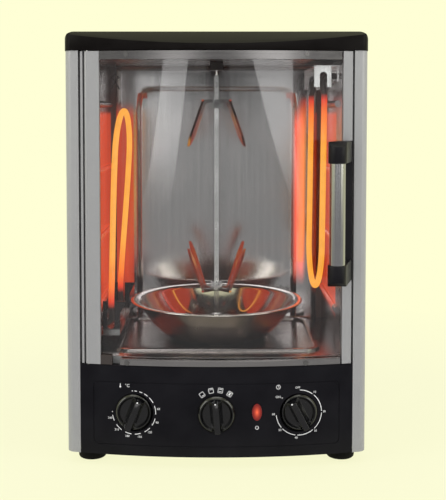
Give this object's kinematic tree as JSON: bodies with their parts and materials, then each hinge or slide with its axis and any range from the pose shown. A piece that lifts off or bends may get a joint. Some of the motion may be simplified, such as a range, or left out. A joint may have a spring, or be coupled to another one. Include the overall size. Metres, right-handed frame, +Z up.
{
  "type": "doner kebab grill",
  "caption": "Upright table grill with a turning spit between two hairpin heating elements, behind a bowed glass door, with a drip pan and a row of control knobs.",
  "frame": {"origin": "on the surface it stands on, under the middle of the whole object's bounding box", "axes": "+X to the viewer's right when facing the door, +Y from the door to the back, +Z up"},
  "size_m": [0.3212, 0.2862, 0.461],
  "materials": {
    "silver_panel": "satin silver paint",
    "door_silver": "satin silver",
    "rail_steel": "bright",
    "cap_black": "satin black",
    "fascia_black": "satin black",
    "knob_black": "gloss black",
    "handle_black": "matte black",
    "handle_steel": "brushed",
    "cavity_steel": "brushed, lit by the elements",
    "inner_steel": "zinc plated",
    "pan_steel": "polished",
    "spit_steel": "polished",
    "screw_steel": "bright",
    "element_glow": "glowing",
    "door_glass": "clear",
    "foot_rubber": "matte",
    "block_black": "matte",
    "lamp_red": "clear red, lit",
    "brass": "satin",
    "control_cream": "matte",
    "wire_red": "silicone"
  },
  "bodies": {
    "root": {"left_side_panel": "silver_panel", "right_side_panel": "silver_panel", "back_cover": "silver_panel", "top_cap": "cap_black", "base_plate": "inner_steel", "feet": "foot_rubber", "casing_screws": "screw_steel", "front_frame": "door_silver", "control_fascia": "fascia_black", "cavity_left_wall": "cavity_steel", "cavity_right_wall": "cavity_steel", "cavity_back_wall": "cavity_steel", "cavity_ceiling": "cavity_steel", "cavity_floor": "cavity_steel", "left_heating_element": "element_glow", "right_heating_element": "element_glow", "left_element_bracket": "inner_steel", "right_element_bracket": "inner_steel", "element_terminals": "brass", "element_wire_hook": "block_black", "top_bearing_block": "block_black", "motor_housing": "inner_steel", "motor_bracket": "inner_steel", "spindle_bush": "brass", "machine_screws": "screw_steel", "control_plate": "inner_steel", "thermostat_body": "control_cream", "function_switch_body": "control_cream", "timer_body": "inner_steel", "lamp_lens": "lamp_red", "lamp_body": "control_cream", "cord_gland": "block_black", "terminal_block": "control_cream", "wiring": "wire_red", "door_magnet": "block_black"},
    "door": {"door_glass": "door_glass", "door_top_rail": "rail_steel", "door_bottom_rail": "rail_steel", "door_left_stile": "door_silver", "door_right_stile": "door_silver", "glass_corner_block": "block_black", "door_screws": "screw_steel", "hinge_pins": "screw_steel", "door_strike_plate": "inner_steel", "handle_back_plate": "handle_black", "handle_end_pieces": "handle_black", "handle_tube": "handle_steel"},
    "temperature_dial": {"temperature_knob": "knob_black", "temperature_shaft": "inner_steel"},
    "function_dial": {"function_knob": "knob_black", "function_shaft": "inner_steel"},
    "timer_dial": {"timer_knob": "knob_black", "timer_shaft": "inner_steel"},
    "spindle": {"drive_spindle": "spit_steel"},
    "spit_rod": {"spit": "spit_steel"},
    "fork_low": {"lower_fork": "spit_steel"},
    "fork_high": {"upper_fork": "spit_steel"},
    "screw_low": {"lower_fork_screw": "screw_steel"},
    "screw_high": {"upper_fork_screw": "screw_steel"},
    "pan": {"drip_pan": "pan_steel"}
  },
  "joints": [
    {"name": "door_hinge", "type": "hinge", "parent": "root", "child": "door", "pos_m": [-0.1358, -0.09095, 0.27], "axis": [0, 0, -1], "range_deg": [0, 100]},
    {"name": "temperature_turn", "type": "hinge", "parent": "root", "child": "temperature_dial", "pos_m": [-0.0873, -0.1, 0.0585], "axis": [0, 1, 0], "range_deg": [-22, 250]},
    {"name": "function_turn", "type": "hinge", "parent": "root", "child": "function_dial", "pos_m": [0, -0.1, 0.0585], "axis": [0, 1, 0], "range_deg": [-31, 38]},
    {"name": "timer_turn", "type": "hinge", "parent": "root", "child": "timer_dial", "pos_m": [0.0873, -0.1, 0.0585], "axis": [0, 1, 0], "range_deg": [-18, 298]},
    {"name": "spindle_turn", "type": "hinge", "parent": "root", "child": "spindle", "pos_m": [0, 0.01055, 0.12], "axis": [0, 0, 1], "continuous": true},
    {"name": "spit_lift", "type": "slide", "parent": "spindle", "child": "spit_rod", "axis": [0, 0, 1], "range_m": [0, 0.0062]},
    {"name": "lower_fork_slide", "type": "slide", "parent": "spit_rod", "child": "fork_low", "axis": [0, 0, 1], "range_m": [0, 0.03]},
    {"name": "upper_fork_slide", "type": "slide", "parent": "spit_rod", "child": "fork_high", "axis": [0, 0, 1], "range_m": [-0.08, 0.02]},
    {"name": "lower_screw_turn", "type": "hinge", "parent": "fork_low", "child": "screw_low", "pos_m": [0, 0, 0.1744], "axis": [0, -1, 0], "range_deg": [0, 360]},
    {"name": "upper_screw_turn", "type": "hinge", "parent": "fork_high", "child": "screw_high", "pos_m": [0, 0, 0.3845], "axis": [0, -1, 0], "range_deg": [0, 360]},
    {"name": "pan_lift", "type": "slide", "parent": "root", "child": "pan", "axis": [0, 0, 1], "range_m": [0, 0.02]}
  ]
}
